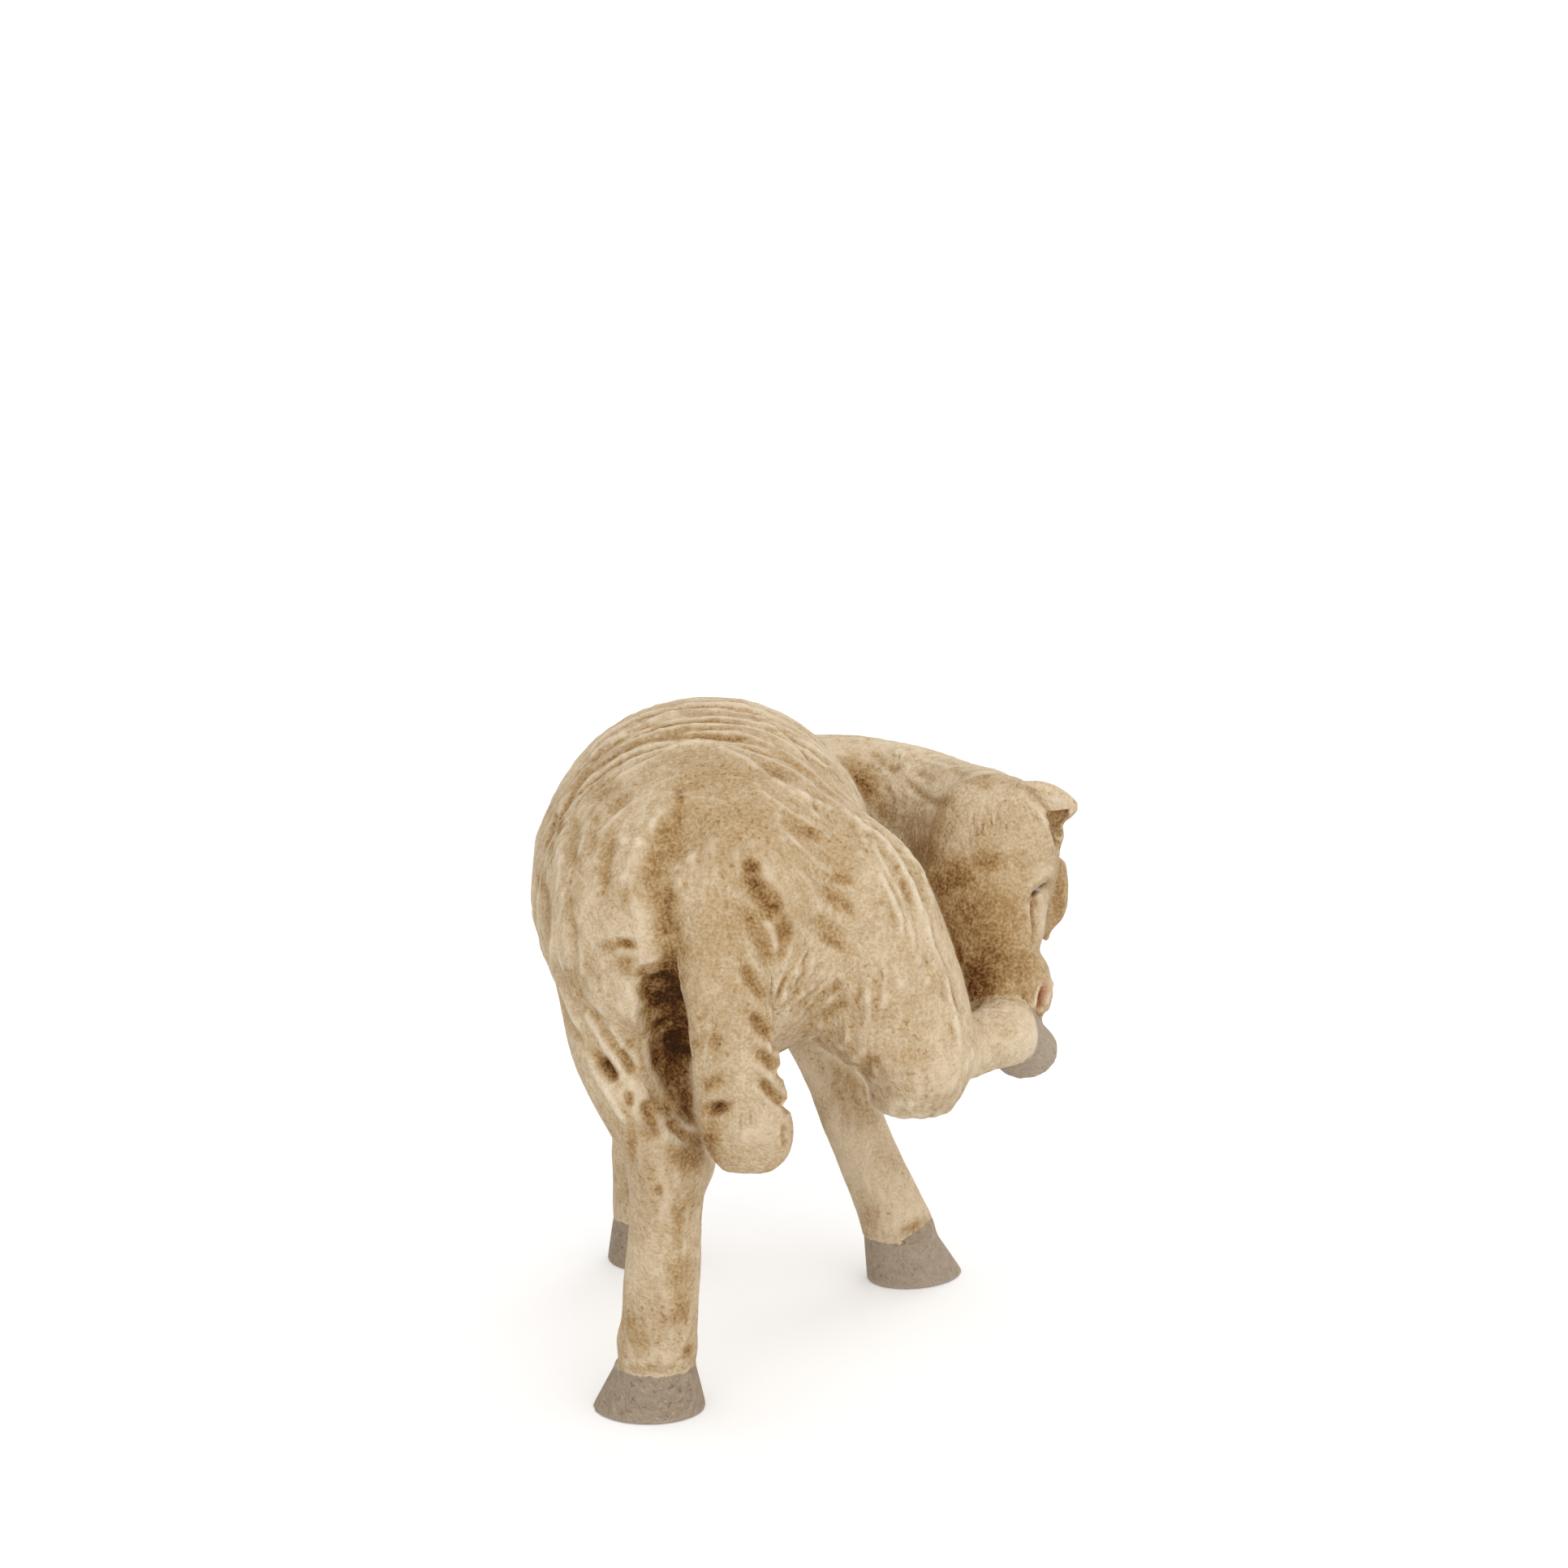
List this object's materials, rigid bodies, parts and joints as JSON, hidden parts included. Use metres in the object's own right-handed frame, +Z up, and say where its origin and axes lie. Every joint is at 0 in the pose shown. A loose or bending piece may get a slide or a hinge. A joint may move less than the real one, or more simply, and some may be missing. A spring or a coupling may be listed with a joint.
{
  "type": "sheep figurine",
  "caption": "Painted cast sheep figurine standing with one hind leg raised, its neck bent round so that the muzzle nibbles the raised leg.",
  "frame": {"origin": "on the ground under the middle of the figure's bounding box", "axes": "+X to the sheep's right, +Y forward along its body, +Z up"},
  "size_m": [0.0686, 0.087, 0.0855],
  "materials": {
    "cream_paint": "matt cream paint with a brown wash in the hollows",
    "hoof_paint": "matt grey-brown paint",
    "pin_steel": "plain wire"
  },
  "bodies": {
    "root": {"torso": "cream_paint", "neck": "cream_paint", "head": "cream_paint", "left_ear": "cream_paint", "right_ear": "cream_paint", "tail": "cream_paint", "left_fore_leg": "cream_paint", "right_fore_leg": "cream_paint", "left_hind_leg": "cream_paint", "right_hind_thigh": "cream_paint", "right_hind_shank": "cream_paint", "left_fore_hoof": "hoof_paint", "right_fore_hoof": "hoof_paint", "left_hind_hoof": "hoof_paint", "right_hind_hoof": "hoof_paint", "left_fore_wire": "pin_steel", "right_fore_wire": "pin_steel", "left_hind_wire": "pin_steel", "thigh_pin": "pin_steel", "shank_pin": "pin_steel", "neck_pin": "pin_steel", "head_pin": "pin_steel", "tail_pin": "pin_steel"}
  },
  "joints": []
}
